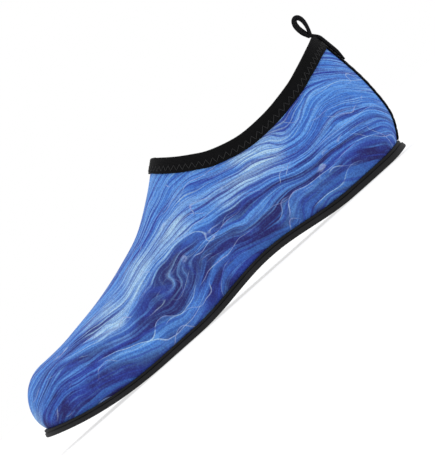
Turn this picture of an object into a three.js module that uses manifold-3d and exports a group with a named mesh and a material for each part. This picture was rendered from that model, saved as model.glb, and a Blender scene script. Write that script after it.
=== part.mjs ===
// A pull-on water shoe for the left foot, standing empty on its sole: a sock of stretch fabric on a
// moulded rubber sole, with a foam insole, an elastic binding round the collar, a tape down the back seam
// and a pull loop. Sizes are in millimetres. +X points to the toe, +Y to the outer side of the foot and
// +Z up. The origin is at the middle of the shoe's own box, on the floor.
import * as THREE from "three";
import { mergeVertices } from "three/addons/utils/BufferGeometryUtils.js";
import Module from "manifold-3d";

const wasm = await Module();
wasm.setup();

// The last, which is the inside form of the shoe with the upper's thickness on it
const lastLength = 252; // along the line where the upper stands on the sole
const ballWidth = 90; // the same line, across the ball of the foot
const instepHeight = 84; // ridge over the sole, at the front of the collar
const heelRound = 34; // length of the round end at the heel
const toeRound = 50; // length over which the outline closes at the toe
const toeRoundness = 2.3; // 2 is an ellipse, and more is squarer
const toeCap = 22; // length over which the top comes down at the toe
const bellyHeight = 14; // where the side walls bulge most, over the sole
const heelBulge = 10; // how far the back of the heel swings out behind the sole line
const heelBulgeLength = 60; // how far forward that bulge is felt
const toeBulge = 2.7; // how far the toe swings out in front of the sole line
const toeBulgeLength = 30;

// The sole
const baseThickness = 3; // rubber under the foot
const sideHeight = 5.3; // outside of the sole at the heel, from the floor to its top edge
const sideTaper = 0.22; // share of that height which is lost by the toe
const flare = 3.7; // how far the lower edge stands out from the upper's foot line
const band = 3.3; // the same, for the top of the lower band
const strip = 2.5; // the same, for the narrower strip over that band
const edgeRound = 0.7; // rounding of the lower edge
const archLift = 5.5; // height of the waist over the floor
const toeSpring = 12; // height of the toe's tip over the floor
const heelSpring = 1.4; // height of the heel's rear edge over the floor

// The tread
const grooveDepth = 1.1;
const grooveWidth = 2.4;
const groovePitch = 10.5;
const grooveWave = 2.2; // how far a groove swings forward and back
const grooveWaveLength = 26;
const grooveMargin = 7; // plain border between the grooves and the sole's edge

// Cloth, foam and tape
const wall = 1.6; // the upper's fabric
const insoleThickness = 3;
const insoleMargin = 0.6; // between the insole and the inside of the upper
const bindingWidth = 8;
const bindingThickness = 0.9;
const heelTapeWidth = 9;
const heelTapeThickness = 0.8;
const loopWidth = 6; // width of the loop's tape
const loopThickness = 1.9;
const loopHeight = 15.5; // above the collar
const loopSpan = 9; // across the loop, front to back
const loopLean = 3; // degrees that the loop leans back
const loopTail = 19; // length of the tail sewn down the back
const gap = 0.3; // between neighbouring pieces
const innerGap = 0.42; // between the upper and the binding's inner leg

// Sections of the last, from the heel to the toe. at is a share of its length. outer, inner, axis and
// shift are shares of the ball's width: the half widths either side of the foot's axis, the axis itself,
// and the ridge's place beside the axis. ridge is a share of the instep's height; behind the collar's
// front the ridge is the shin's, above the opening. swell is the bulge of the side walls, as a share of
// the half width. square is the section's roundness, as toeRoundness is.
const sections = [
  { at: 0.0, outer: 0.325, inner: 0.325, axis: 0, shift: 0, ridge: 1.42, swell: 0.13, square: 2 },
  { at: 0.1, outer: 0.332, inner: 0.33, axis: 0, shift: 0, ridge: 1.47, swell: 0.13, square: 2 },
  { at: 0.2, outer: 0.346, inner: 0.326, axis: 0, shift: 0, ridge: 1.46, swell: 0.12, square: 2 },
  { at: 0.3, outer: 0.366, inner: 0.31, axis: 0, shift: -0.01, ridge: 1.33, swell: 0.1, square: 2 },
  { at: 0.36, outer: 0.382, inner: 0.303, axis: 0, shift: -0.02, ridge: 1.158, swell: 0.09, square: 2 },
  { at: 0.4, outer: 0.396, inner: 0.3, axis: 0, shift: -0.03, ridge: 1.046, swell: 0.08, square: 2.02 },
  { at: 0.44, outer: 0.412, inner: 0.303, axis: 0, shift: -0.035, ridge: 0.949, swell: 0.08, square: 2.05 },
  { at: 0.5, outer: 0.438, inner: 0.316, axis: 0, shift: -0.045, ridge: 0.83, swell: 0.07, square: 2.1 },
  { at: 0.57, outer: 0.468, inner: 0.352, axis: -0.003, shift: -0.055, ridge: 0.714, swell: 0.06, square: 2.15 },
  { at: 0.65, outer: 0.494, inner: 0.412, axis: -0.008, shift: -0.065, ridge: 0.63, swell: 0.055, square: 2.2 },
  { at: 0.72, outer: 0.5, inner: 0.462, axis: -0.016, shift: -0.07, ridge: 0.57, swell: 0.05, square: 2.25 },
  { at: 0.8, outer: 0.482, inner: 0.478, axis: -0.028, shift: -0.07, ridge: 0.515, swell: 0.05, square: 2.3 },
  { at: 0.88, outer: 0.444, inner: 0.468, axis: -0.042, shift: -0.06, ridge: 0.455, swell: 0.05, square: 2.3 },
  { at: 0.94, outer: 0.41, inner: 0.45, axis: -0.053, shift: -0.05, ridge: 0.412, swell: 0.05, square: 2.3 },
  { at: 1.0, outer: 0.38, inner: 0.43, axis: -0.064, shift: -0.04, ridge: 0.38, swell: 0.05, square: 2.3 },
];

// The collar's edge from the side: at is a share of the last's length and height a share of the instep's
// height. It runs on past the ridge, so that lines below it reach the ridge as well.
const collar = [
  { at: 0.0, height: 0.905 },
  { at: 0.03, height: 0.879 },
  { at: 0.065, height: 0.837 },
  { at: 0.1, height: 0.797 },
  { at: 0.15, height: 0.763 },
  { at: 0.2, height: 0.74 },
  { at: 0.25, height: 0.724 },
  { at: 0.29, height: 0.731 },
  { at: 0.33, height: 0.758 },
  { at: 0.36, height: 0.804 },
  { at: 0.39, height: 0.864 },
  { at: 0.42, height: 0.943 },
  { at: 0.45, height: 1.037 },
  { at: 0.5, height: 1.195 },
];

// The back of the heel from the side: at is a share of the collar's height there and out a share of
// heelBulge.
const heelBack = [
  { at: 0, out: 0 },
  { at: 0.1, out: 0.5 },
  { at: 0.2, out: 0.84 },
  { at: 0.3, out: 0.97 },
  { at: 0.4, out: 1 },
  { at: 0.5, out: 1 },
  { at: 0.62, out: 0.93 },
  { at: 0.75, out: 0.8 },
  { at: 0.87, out: 0.66 },
  { at: 1.0, out: 0.5 },
];

// How many faces the solids have
const stationsBehind = 24; // from the heel to the front of the collar
const stationsAhead = 26; // from there to the toe
const wallRows = 13;

const clamp01 = (t) => Math.min(Math.max(t, 0), 1);
const mix = (a, b, t) => a + (b - a) * t;

// A column of a table at a place, by a smooth curve through its rows, and straight on past its ends.
function read(table, column, at) {
  const last = table.length - 1;
  const slope = (i) => {
    const a = table[Math.max(i - 1, 0)];
    const b = table[Math.min(i + 1, last)];
    return (b[column] - a[column]) / (b.at - a.at);
  };
  if (at <= table[0].at) return table[0][column] + slope(0) * (at - table[0].at);
  if (at >= table[last].at) return table[last][column] + slope(last) * (at - table[last].at);
  let i = 0;
  while (at > table[i + 1].at) i++;
  const [a, b] = [table[i], table[i + 1]];
  const run = b.at - a.at;
  const t = (at - a.at) / run;
  return (
    (1 + 2 * t) * (1 - t) ** 2 * a[column] +
    t * (1 - t) ** 2 * run * slope(i) +
    t * t * (3 - 2 * t) * b[column] -
    t * t * (1 - t) * run * slope(i + 1)
  );
}

// The sole's underside over the floor: the heel's rear edge, the waist and the toe rise from it.
const heelFlat = { from: 0.05, to: 0.15 }; // shares of the last's length
const ballFlat = { from: 0.6, to: 0.7 };
const toeSpringPower = 2.2;
function underside(x) {
  const at = x / lastLength;
  const rear = clamp01((heelFlat.from - at) / heelFlat.from);
  const waist = clamp01((at - heelFlat.to) / (ballFlat.from - heelFlat.to));
  const toe = Math.max((at - ballFlat.to) / (1 - ballFlat.to), 0);
  const arch = archLift * Math.sin(Math.PI * waist) ** 2;
  return heelSpring * rear ** 2 + arch + toeSpring * toe ** toeSpringPower;
}

// The line where the upper stands in the sole's tray
const footLine = (x) => underside(x) + baseThickness + gap;

// 1 in the middle of the shoe, closing to 0 at both ends of the last and negative past them
function closing(x) {
  const heel = (heelRound - x) / heelRound;
  const toe = (x - lastLength + toeRound) / toeRound;
  const signedRoot = (c, power) => Math.sign(c) * Math.abs(c) ** (1 / power);
  if (heel > 0) return signedRoot(1 - heel ** 2, 2);
  if (toe > 0) return signedRoot(1 - toe ** toeRoundness, toeRoundness);
  return 1;
}

function ridgeHeight(x) {
  const cap = clamp01((x - lastLength + toeCap) / toeCap);
  const capped = (1 - cap ** toeRoundness) ** (1 / toeRoundness);
  return instepHeight * read(sections, "ridge", x / lastLength) * capped;
}

function sectionAt(x) {
  const at = x / lastLength;
  const close = closing(x);
  const shift = read(sections, "shift", at);
  return {
    middle: ballWidth * (read(sections, "axis", at) + shift * close),
    outer: ballWidth * (read(sections, "outer", at) - shift) * close,
    inner: ballWidth * (read(sections, "inner", at) + shift) * close,
    swell: read(sections, "swell", at),
    square: read(sections, "square", at),
    ridge: ridgeHeight(x),
  };
}

// The bulge of a wall by its height: 0 at the sole, 1 at bellyHeight, and fading above
const belly = (height) => {
  const h = Math.max(height, 0) / bellyHeight;
  return h * Math.exp(1 - h);
};

const collarHeight = (x) => instepHeight * read(collar, "height", x / lastLength);

// How far a point of the wall is moved along the shoe by the round back of the heel and the round toe
function sway(x, height) {
  const heel = clamp01(1 - x / heelBulgeLength) ** 2;
  const toe = clamp01(1 - (lastLength - x) / toeBulgeLength) ** 2;
  const back = read(heelBack, "out", Math.max(height, 0) / collarHeight(0));
  return toeBulge * belly(height) * toe - heelBulge * back * heel;
}

// A point of the upper's outer surface: side is 1 for the outer side of the foot and -1 for the inner side.
function wallPoint(x, height, side) {
  const s = sectionAt(x);
  const rise = height > 0 ? Math.min(height / s.ridge, 1) : 0;
  const width = (side > 0 ? s.outer : s.inner) * (1 + s.swell * belly(height));
  const y = s.middle + side * width * (1 - rise ** s.square) ** (1 / s.square);
  return new THREE.Vector3(x + sway(x, height), y, footLine(x) + height);
}

// Above 0 outside the upper's surface and below 0 inside it
function outside(p) {
  let x = p.x;
  for (let i = 0; i < 4; i++) x = p.x - sway(x, p.z - footLine(x));
  const height = p.z - footLine(x);
  const s = sectionAt(x);
  const width = (p.y > s.middle ? s.outer : s.inner) * (1 + s.swell * belly(height));
  const room = 1 - (Math.max(height, 0) / s.ridge) ** s.square;
  return Math.abs(p.y - s.middle) ** s.square - Math.sign(width) * Math.abs(width) ** s.square * room;
}

// The direction straight out of the upper's surface
function outward(p) {
  const step = 0.02;
  const slope = (axis) =>
    outside(p.clone().addScaledVector(axis, step)) - outside(p.clone().addScaledVector(axis, -step));
  return new THREE.Vector3(
    slope(new THREE.Vector3(1, 0, 0)),
    slope(new THREE.Vector3(0, 1, 0)),
    slope(new THREE.Vector3(0, 0, 1)),
  ).normalize();
}

// The place where a falling function crosses 0
function crossing(f, from, to) {
  for (let i = 0; i < 50; i++) {
    const middle = (from + to) / 2;
    if (f(middle) > 0) from = middle;
    else to = middle;
  }
  return (from + to) / 2;
}

// A line that runs below the collar's edge at a set distance: its height at x, and where it reaches the
// ridge
function lineHeight(x, drop) {
  const step = 0.5;
  const slope =
    (collarHeight(x + step) + footLine(x + step) - collarHeight(x - step) - footLine(x - step)) / (2 * step);
  return collarHeight(x) - drop * Math.hypot(1, slope);
}
const lineEnd = (drop) =>
  crossing((x) => ridgeHeight(x) - lineHeight(x, drop), 0.3 * lastLength, 0.5 * lastLength);

const collarFront = lineEnd(0);

// Stations along the last, close together at the heel, at the collar's front and at the toe
const stationCount = stationsBehind + stationsAhead;
const eased = (t) => (1 - Math.cos(Math.PI * t)) / 2;
function stationAt(t) {
  const front = stationsBehind / stationCount;
  return t < front
    ? collarFront * eased(t / front)
    : mix(collarFront, lastLength, eased((t - front) / (1 - front)));
}

// The shoe's outline as a closed loop of stations: up the outer side from the heel, and back along the
// inner side
const outline = [];
for (let i = 0; i <= stationCount; i++) outline.push({ t: i / stationCount, side: 1 });
for (let i = stationCount - 1; i > 0; i--) outline.push({ t: i / stationCount, side: -1 });

function outlinePoint(t, side, height) {
  if (t < 0) return outlinePoint(-t, -side, height);
  if (t > 1) return outlinePoint(2 - t, -side, height);
  return wallPoint(stationAt(t), height, side);
}

// A ring round the shoe: the upper's surface at a height, moved outwards in plan by out. up gives z from x.
function outlineRing(height, out, up) {
  const step = 1e-3;
  return outline.map(({ t, side }) => {
    const along = outlinePoint(t + step, side, 0).sub(outlinePoint(t - step, side, 0));
    const away = new THREE.Vector3(-along.y, along.x, 0).multiplyScalar(side).normalize();
    const p = outlinePoint(t, side, height(stationAt(t)));
    p.addScaledVector(away, out);
    p.z = up(stationAt(t));
    return p;
  });
}

// Geometry from loops of points, all of one length, each joined to the next
function join(rings, closed) {
  const n = rings[0].length;
  const faces = [];
  const pairs = closed ? rings.length : rings.length - 1;
  for (let r = 0; r < pairs; r++) {
    const s = (r + 1) % rings.length;
    for (let i = 0; i < n; i++) {
      const j = (i + 1) % n;
      faces.push([r * n + i, s * n + j, r * n + j], [r * n + i, s * n + i, s * n + j]);
    }
  }
  return { points: rings.flat(), faces };
}

// Closes the end of a stack of outline rings with strips from the outer side to the inner side
function capFaces(start, facingUp) {
  const n = outline.length;
  const faces = [];
  for (let i = 0; i < n / 2; i++) {
    const [a, b] = [start + i, start + i + 1];
    const [c, d] = [start + ((n - i - 1) % n), start + ((n - i) % n)];
    faces.push([a, b, c], [a, c, d]);
  }
  return facingUp ? faces.map(([a, b, c]) => [a, c, b]) : faces;
}

function geometryOf({ points, faces }) {
  const g = new THREE.BufferGeometry().setFromPoints(points);
  g.setIndex(faces.flat());
  return mergeVertices(g, 1e-4);
}

function toSolid(geometry) {
  const bare = new THREE.BufferGeometry().setAttribute("position", geometry.getAttribute("position"));
  bare.setIndex(geometry.index);
  const merged = mergeVertices(bare, 1e-4);
  return new wasm.Manifold(
    new wasm.Mesh({
      numProp: 3,
      vertProperties: merged.attributes.position.array,
      triVerts: new Uint32Array(merged.index.array),
    }),
  );
}

function toGeometry(solid) {
  const mesh = solid.getMesh();
  const g = new THREE.BufferGeometry();
  g.setAttribute("position", new THREE.BufferAttribute(mesh.vertProperties, 3));
  g.setIndex(new THREE.BufferAttribute(mesh.triVerts, 1));
  return g;
}

// A wall of even thickness from one open surface: the surface, its copy moved against the normals, and
// the edges
function thicken(surface, thickness) {
  const g = geometryOf(surface);
  const index = Array.from(g.index.array);
  const faces = [];
  for (let i = 0; i < index.length; i += 3) {
    const [a, b, c] = index.slice(i, i + 3);
    if (a !== b && b !== c && c !== a) faces.push([a, b, c]);
  }
  g.setIndex(faces.flat());
  g.computeVertexNormals();
  const [position, normal] = [g.attributes.position, g.attributes.normal];
  const count = position.count;
  const points = [];
  for (let i = 0; i < count; i++) points.push(new THREE.Vector3().fromBufferAttribute(position, i));
  for (let i = 0; i < count; i++) {
    const outwards = new THREE.Vector3().fromBufferAttribute(normal, i);
    points.push(points[i].clone().addScaledVector(outwards, -thickness));
  }
  const key = (a, b) => a * count + b;
  const edges = new Set(faces.flatMap(([a, b, c]) => [key(a, b), key(b, c), key(c, a)]));
  const solid = [...faces, ...faces.map(([a, b, c]) => [a + count, c + count, b + count])];
  for (const [a, b, c] of faces) {
    for (const [from, to] of [[a, b], [b, c], [c, a]]) {
      if (!edges.has(key(to, from))) {
        solid.push([from, from + count, to + count], [from, to + count, to]);
      }
    }
  }
  return geometryOf({ points, faces: solid });
}

// The upper: rows of each section run from the foot line to the ridge, or to the collar's edge behind its
// front.
function makeUpper() {
  const rings = [];
  for (let row = 0; row <= wallRows; row++) {
    rings.push(
      outline.map(({ t, side }) => {
        const x = stationAt(t);
        const s = sectionAt(x);
        const top = x < collarFront ? Math.min(collarHeight(x) / s.ridge, 1) : 1;
        const turn = (row / wallRows) * Math.asin(top ** (s.square / 2));
        const ridgeReached = row === wallRows && x >= collarFront;
        const height = ridgeReached ? s.ridge : s.ridge * Math.sin(turn) ** (2 / s.square);
        return wallPoint(x, height, side);
      }),
    );
  }
  return thicken(join(rings, false), wall);
}

const sideTop = (x) => sideHeight * (1 - (sideTaper * x) / lastLength);

// The sole: a tray whose side has a lower band with a flared edge, and a narrower strip over it beside
// the upper
function makeSole() {
  const onFootLine = () => 0;
  const rimHeight = (x) => sideTop(x) - baseThickness - gap;
  const side = (share) => (x) => underside(x) + share * sideTop(x);
  const rings = [
    outlineRing(onFootLine, flare - edgeRound, underside),
    outlineRing(onFootLine, flare, (x) => underside(x) + edgeRound),
    outlineRing(onFootLine, band, side(0.56)),
    outlineRing(onFootLine, strip, side(0.63)),
    outlineRing(onFootLine, strip, side(0.88)),
    outlineRing(onFootLine, strip - edgeRound / 2, side(1)),
    outlineRing(rimHeight, gap, side(0.97)),
    outlineRing(onFootLine, gap, (x) => underside(x) + baseThickness),
  ];
  const { points, faces } = join(rings, false);
  const last = (rings.length - 1) * outline.length;
  const closed = [...faces, ...capFaces(0, false), ...capFaces(last, true)];
  let solid = toSolid(geometryOf({ points, faces: closed }));
  for (const x of groovePlaces()) solid = solid.subtract(toSolid(groove(x)));
  return toGeometry(solid);
}

// Grooves lie under the heel and under the forefoot, and the waist is plain.
function groovePlaces() {
  const fields = [
    { from: 0.07, to: 0.27 },
    { from: 0.53, to: 0.93 },
  ];
  return fields.flatMap(({ from, to }) => {
    const count = Math.floor(((to - from) * lastLength) / groovePitch);
    return Array.from({ length: count + 1 }, (_, i) => from * lastLength + i * groovePitch);
  });
}

// A cutter for one wavy groove across the sole
function groove(x) {
  const ends = [-1, 1].map((side) => wallPoint(x, 0, side).y - side * (grooveMargin - flare));
  const steps = Math.max(4, Math.round((ends[1] - ends[0]) / (grooveWaveLength / 4)));
  const swing = (y) => x + grooveWave * Math.sin((2 * Math.PI * y) / grooveWaveLength);
  const edge = (offset) =>
    Array.from({ length: steps + 1 }, (_, i) => {
      const y = mix(ends[0], ends[1], i / steps);
      return new THREE.Vector2(swing(y) + offset, y);
    });
  const shape = new THREE.Shape([...edge(grooveWidth / 2), ...edge(-grooveWidth / 2).reverse()]);
  const reach = 2 * (grooveDepth + toeSpring);
  const cutter = new THREE.ExtrudeGeometry(shape, { depth: reach, bevelEnabled: false });
  cutter.translate(0, 0, underside(x) + grooveDepth - reach);
  return cutter;
}

// The insole: a sheet of foam lying in the sole's tray, inside the upper
function makeInsole() {
  const inset = -(wall + insoleMargin);
  const onFootLine = () => 0;
  const round = insoleThickness / 4;
  const rings = [
    outlineRing(onFootLine, inset - round, footLine),
    outlineRing(onFootLine, inset, (x) => footLine(x) + round),
    outlineRing(onFootLine, inset, (x) => footLine(x) + insoleThickness - round),
    outlineRing(onFootLine, inset - round, (x) => footLine(x) + insoleThickness),
  ];
  const { points, faces } = join(rings, false);
  const last = (rings.length - 1) * outline.length;
  return geometryOf({ points, faces: [...faces, ...capFaces(0, false), ...capFaces(last, true)] });
}

// A ring round the collar: drop is the distance below its edge, and out the distance from the upper's
// outer surface.
function collarRing(drop, out) {
  const end = lineEnd(drop);
  const steps = 2 * stationsBehind;
  return Array.from({ length: steps }, (_, i) => {
    const side = i <= stationsBehind ? 1 : -1;
    const share = side > 0 ? i / stationsBehind : 2 - i / stationsBehind;
    const x = end * eased(share);
    const height = share === 1 ? ridgeHeight(end) : lineHeight(x, drop);
    const p = wallPoint(x, height, side);
    return p.addScaledVector(outward(p), out);
  });
}

// The binding: one tape folded over the collar's edge, with a leg outside the upper and a leg inside it
function makeBinding() {
  const outer = gap + bindingThickness;
  const inner = -wall - innerGap - bindingThickness;
  const profile = [
    [bindingWidth, gap],
    [bindingWidth, outer],
    [bindingWidth / 2, outer],
    [0, outer],
    [-0.8 * outer, outer - 0.7 * bindingThickness],
    [-outer, -wall / 2],
    [-0.8 * outer, inner + 0.7 * bindingThickness],
    [0, inner],
    [bindingWidth / 2, inner],
    [bindingWidth, inner],
    [bindingWidth, -wall - innerGap],
    [bindingWidth / 2, -wall - innerGap],
    [-gap, -wall - innerGap],
    [-gap, gap],
    [bindingWidth / 2, gap],
  ];
  return geometryOf(join(profile.map(([drop, out]) => collarRing(drop, out)), true));
}

// A point on the back of the heel, y to the side of its middle
function backPoint(y, height) {
  const side = y < 0 ? -1 : 1;
  const reach = (x) => Math.abs(y) - Math.abs(wallPoint(x, height, side).y);
  return wallPoint(y === 0 ? 0 : crossing(reach, 0, heelRound), height, side);
}

// The heel tape: a strip over the back seam, from the sole's edge up to the binding
function makeHeelTape() {
  const bottom = sideTop(0) - baseThickness + heelTapeThickness;
  const top = lineHeight(0, bindingWidth + gap + heelTapeThickness / 2);
  const rows = 12;
  const columns = 4;
  const surface = { points: [], faces: [] };
  for (let r = 0; r <= rows; r++) {
    for (let c = 0; c <= columns; c++) {
      const p = backPoint(heelTapeWidth * (c / columns - 0.5), mix(bottom, top, r / rows));
      surface.points.push(p.addScaledVector(outward(p), gap + heelTapeThickness));
    }
  }
  for (let r = 0; r < rows; r++) {
    for (let c = 0; c < columns; c++) {
      const a = r * (columns + 1) + c;
      const b = a + columns + 1;
      surface.faces.push([a, b, b + 1], [a, b + 1, a + 1]);
    }
  }
  return thicken(surface, heelTapeThickness);
}

// The pull loop, drawn from the side: a tail that lies on the binding and the heel tape, and a drop-
// shaped loop above the collar whose front leg comes down on the top of the binding
function makePullLoop() {
  const seat = 2 * gap + bindingThickness;
  const offBack = (drop, out) => {
    const p = wallPoint(0, lineHeight(0, drop), 1);
    p.addScaledVector(outward(p), out);
    return new THREE.Vector2(p.x, p.z);
  };
  const tailSteps = 5;
  const tail = (out, from, to) =>
    Array.from({ length: tailSteps + 1 }, (_, i) => offBack(mix(from, to, i / tailSteps), out));
  const backEdge = tail(seat + loopThickness, loopTail, 0);
  const frontEdge = tail(seat, 0, loopTail);
  const lean = (loopLean * Math.PI) / 180;
  const rise = new THREE.Vector2(-Math.sin(lean), Math.cos(lean));
  const ahead = new THREE.Vector2(Math.cos(lean), Math.sin(lean));
  const foot = offBack(-seat, -wall / 2);
  const place = (up, forward) => foot.clone().addScaledVector(rise, up).addScaledVector(ahead, forward);
  // a drop from its point at the foot, round its head and back, as shares of its height
  const drop = (low, high, span, from, to) =>
    Array.from({ length: 19 }, (_, i) => {
      const turn = mix(from, to, i / 18);
      const up = mix(low, high, (1 - Math.cos(turn)) / 2);
      return place(up, (span / 2) * 1.3 * Math.sin(turn) * Math.abs(Math.sin(turn / 2)) ** 1.2);
    });
  const outerDrop = drop(-1, loopHeight, loopSpan, -0.32 * Math.PI, -1.7 * Math.PI);
  const holeTop = loopHeight - loopThickness;
  const hole = drop(0.22 * loopHeight, holeTop, loopSpan - 2 * loopThickness, 0, 2 * Math.PI);
  const edge = [...backEdge, ...outerDrop, place(0, 1.5), offBack(-seat, seat), ...frontEdge];
  const shape = new THREE.Shape(edge);
  shape.holes.push(new THREE.Path(hole.slice(0, -1)));
  const g = new THREE.ExtrudeGeometry(shape, { depth: loopWidth, bevelEnabled: false });
  g.rotateX(Math.PI / 2);
  g.translate(0, loopWidth / 2, 0);
  return g;
}

const finish = (color, roughness) => new THREE.MeshStandardMaterial({ color, roughness, metalness: 0 });
const pieces = [
  ["sole", makeSole(), finish(0x1d1c1e, 0.6)],
  ["insole", makeInsole(), finish(0x26282c, 0.9)],
  ["upper", makeUpper(), finish(0x3460c0, 0.75)],
  ["collar_binding", makeBinding(), finish(0x141416, 0.85)],
  ["heel_tape", makeHeelTape(), finish(0x141416, 0.85)],
  ["pull_loop", makePullLoop(), finish(0x151517, 0.85)],
];

const shoe = new THREE.Group();
for (const [name, geometry, material] of pieces) {
  const mesh = new THREE.Mesh(geometry, material);
  mesh.name = name;
  shoe.add(mesh);
}
const box = new THREE.Box3().setFromObject(shoe);
const middle = box.getCenter(new THREE.Vector3());
shoe.position.set(-middle.x, -middle.y, -box.min.z);

export default shoe;
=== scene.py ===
# Water shoe: a stretch-fabric sock on a thin rubber sole, dressed over its CAD frame.
# Shapes are worked out in millimetres in the last's own frame (x from the heel, z from the floor),
# and moved into the shared frame in metres when a mesh is made.
import bpy
import math
import numpy as np
from mathutils import Matrix, Vector


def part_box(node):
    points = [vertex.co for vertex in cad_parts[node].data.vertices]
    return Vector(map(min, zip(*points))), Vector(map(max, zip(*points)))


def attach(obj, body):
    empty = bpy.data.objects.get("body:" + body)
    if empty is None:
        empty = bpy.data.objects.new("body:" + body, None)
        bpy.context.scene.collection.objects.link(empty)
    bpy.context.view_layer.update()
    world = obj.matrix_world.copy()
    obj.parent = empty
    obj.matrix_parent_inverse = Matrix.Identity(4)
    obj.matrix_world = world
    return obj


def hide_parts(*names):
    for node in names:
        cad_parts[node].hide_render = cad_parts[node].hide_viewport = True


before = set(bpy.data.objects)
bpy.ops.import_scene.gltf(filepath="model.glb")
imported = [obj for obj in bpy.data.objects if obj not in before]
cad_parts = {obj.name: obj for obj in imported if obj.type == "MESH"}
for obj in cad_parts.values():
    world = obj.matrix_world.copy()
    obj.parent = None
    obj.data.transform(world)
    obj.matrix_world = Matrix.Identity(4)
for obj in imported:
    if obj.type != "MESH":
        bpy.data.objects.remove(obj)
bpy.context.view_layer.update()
print("frame loaded:", sorted(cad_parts))


# The last
last = {
    "length": 252.0, "ballWidth": 90.0, "instep": 84.0,
    "heelRound": 34.0, "toeRound": 50.0, "toeRoundness": 2.3, "toeCap": 22.0,
    "belly": 14.0,  # height of the widest line over the sole
    "heelBulge": 10.0, "heelBulgeLength": 60.0, "toeBulge": 2.7, "toeBulgeLength": 30.0,
    "base": 3.0, "gap": 0.3, "wall": 1.6,
    "archLift": 5.5, "toeSpring": 12.0, "heelSpring": 1.4, "toeSpringPower": 2.2,
    "heelFlat": (0.05, 0.15), "ballFlat": (0.6, 0.7),
}
sections = {
    "columns": ["at", "outer", "inner", "axis", "shift", "ridge", "swell", "square"],
    "rows": [
        (0.0, 0.325, 0.325, 0, 0, 1.42, 0.13, 2), (0.1, 0.332, 0.33, 0, 0, 1.47, 0.13, 2),
        (0.2, 0.346, 0.326, 0, 0, 1.46, 0.12, 2), (0.3, 0.366, 0.31, 0, -0.01, 1.33, 0.1, 2),
        (0.36, 0.382, 0.303, 0, -0.02, 1.158, 0.09, 2), (0.4, 0.396, 0.3, 0, -0.03, 1.046, 0.08, 2.02),
        (0.44, 0.412, 0.303, 0, -0.035, 0.949, 0.08, 2.05), (0.5, 0.438, 0.316, 0, -0.045, 0.83, 0.07, 2.1),
        (0.57, 0.468, 0.352, -0.003, -0.055, 0.714, 0.06, 2.15),
        (0.65, 0.494, 0.412, -0.008, -0.065, 0.63, 0.055, 2.2),
        (0.72, 0.5, 0.462, -0.016, -0.07, 0.57, 0.05, 2.25),
        (0.8, 0.482, 0.478, -0.028, -0.07, 0.515, 0.05, 2.3),
        (0.88, 0.444, 0.468, -0.042, -0.06, 0.455, 0.05, 2.3),
        (0.94, 0.41, 0.45, -0.053, -0.05, 0.412, 0.05, 2.3),
        (1.0, 0.38, 0.43, -0.064, -0.04, 0.38, 0.05, 2.3),
    ],
}
collar = {
    "columns": ["at", "height"],
    "rows": [
        (0.0, 0.905), (0.03, 0.879), (0.065, 0.837), (0.1, 0.797), (0.15, 0.763), (0.2, 0.74), (0.25, 0.724),
        (0.29, 0.731), (0.33, 0.758), (0.36, 0.804), (0.39, 0.864), (0.42, 0.943), (0.45, 1.037),
        (0.5, 1.195),
    ],
}
heelBack = {
    "columns": ["at", "out"],
    "rows": [
        (0.0, 0), (0.1, 0.5), (0.2, 0.84), (0.3, 0.97), (0.4, 1), (0.5, 1), (0.62, 0.93), (0.75, 0.8),
        (0.87, 0.66), (1.0, 0.5),
    ],
}


def readTable(table, column, at):
    # a smooth curve through the rows: cubic pieces with central slopes, and straight on past both ends
    rows = np.array(table["rows"], float)
    place, value = rows[:, 0], rows[:, table["columns"].index(column)]
    before = np.maximum(np.arange(len(place)) - 1, 0)
    after = np.minimum(np.arange(len(place)) + 1, len(place) - 1)
    slope = (value[after] - value[before]) / (place[after] - place[before])
    at = np.asarray(at, float)
    i = np.clip(np.searchsorted(place, at, side="right") - 1, 0, len(place) - 2)
    run = place[i + 1] - place[i]
    t = np.clip((at - place[i]) / run, 0, 1)
    curve = (1 + 2 * t) * (1 - t) ** 2 * value[i] + t * (1 - t) ** 2 * run * slope[i]
    curve = curve + t * t * (3 - 2 * t) * value[i + 1] - t * t * (1 - t) * run * slope[i + 1]
    past = at - np.clip(at, place[0], place[-1])
    return curve + past * np.where(past < 0, slope[0], slope[-1])


def underside(x):
    # the floor side of the sole: the heel's rear edge as a square, the waist as a squared sine and
    # the toe as a power
    at = x / last["length"]
    rear = np.clip((last["heelFlat"][0] - at) / last["heelFlat"][0], 0, 1)
    waist = np.clip((at - last["heelFlat"][1]) / (last["ballFlat"][0] - last["heelFlat"][1]), 0, 1)
    toe = np.maximum((at - last["ballFlat"][1]) / (1 - last["ballFlat"][1]), 0)
    return (last["heelSpring"] * rear ** 2 + last["archLift"] * np.sin(np.pi * waist) ** 2
            + last["toeSpring"] * toe ** last["toeSpringPower"])


def footLine(x):
    # where the upper's lower edge stands in the sole's tray
    return underside(x) + last["base"] + last["gap"]


def signedPower(value, power):
    return np.sign(value) * np.abs(value) ** power


def closing(x):
    # 1 in the middle of the shoe. The heel's end closes it as a quarter of an ellipse, and the toe's
    # end as (1 - t ** n) ** (1 / n), which is fuller
    heel = (last["heelRound"] - x) / last["heelRound"]
    toe = (x - last["length"] + last["toeRound"]) / last["toeRound"]
    power = last["toeRoundness"]
    atHeel = signedPower(1 - np.maximum(heel, 0) ** 2, 0.5)
    atToe = signedPower(1 - np.maximum(toe, 0) ** power, 1 / power)
    return np.where(heel > 0, atHeel, np.where(toe > 0, atToe, 1.0))


def ridgeHeight(x):
    # the height of the last's top line over the foot line, closed by a rounded power at the toe
    power = last["toeRoundness"]
    cap = np.clip((x - last["length"] + last["toeCap"]) / last["toeCap"], 0, 1)
    closed = (1 - cap ** power) ** (1 / power)
    return last["instep"] * readTable(sections, "ridge", x / last["length"]) * closed


def belly(height):
    # 0 at the sole, 1 at the widest line, fading above
    h = np.maximum(height, 0) / last["belly"]
    return h * np.exp(1 - h)


def collarHeight(x):
    # the collar's edge over the foot line
    return last["instep"] * readTable(collar, "height", x / last["length"])


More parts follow.
